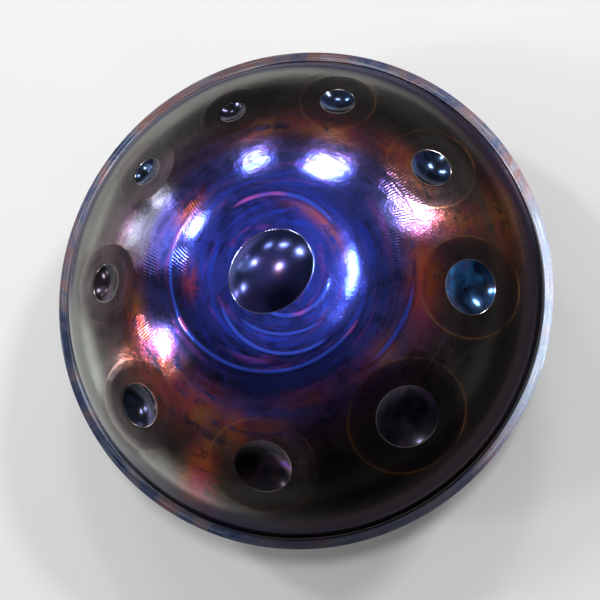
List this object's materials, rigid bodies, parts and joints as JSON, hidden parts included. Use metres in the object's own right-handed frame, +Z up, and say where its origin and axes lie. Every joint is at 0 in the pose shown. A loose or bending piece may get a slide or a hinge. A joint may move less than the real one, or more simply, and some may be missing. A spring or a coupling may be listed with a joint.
{
  "type": "handpan",
  "caption": "Lens-shaped steel hand drum: two bonded flanged shells, a domed centre note, a ring of dimpled tone fields, and a round sound port underneath.",
  "frame": {"origin": "on the surface the pan rests on, under the middle of the pan", "axes": "+Z up through the centre note; the player sits on the -Y side, +X is to the player's right"},
  "size_m": [0.53, 0.53, 0.2395],
  "materials": {
    "top_steel": "polished and heat-tinted: deep blue round the centre, then violet and magenta, then bronze and near black at the rim",
    "bottom_steel": "satin, heat-tinted violet and bronze",
    "adhesive": "cured dark epoxy"
  },
  "bodies": {
    "root": {"top_shell": "top_steel", "bottom_shell": "bottom_steel", "flange_adhesive": "adhesive"}
  },
  "joints": []
}
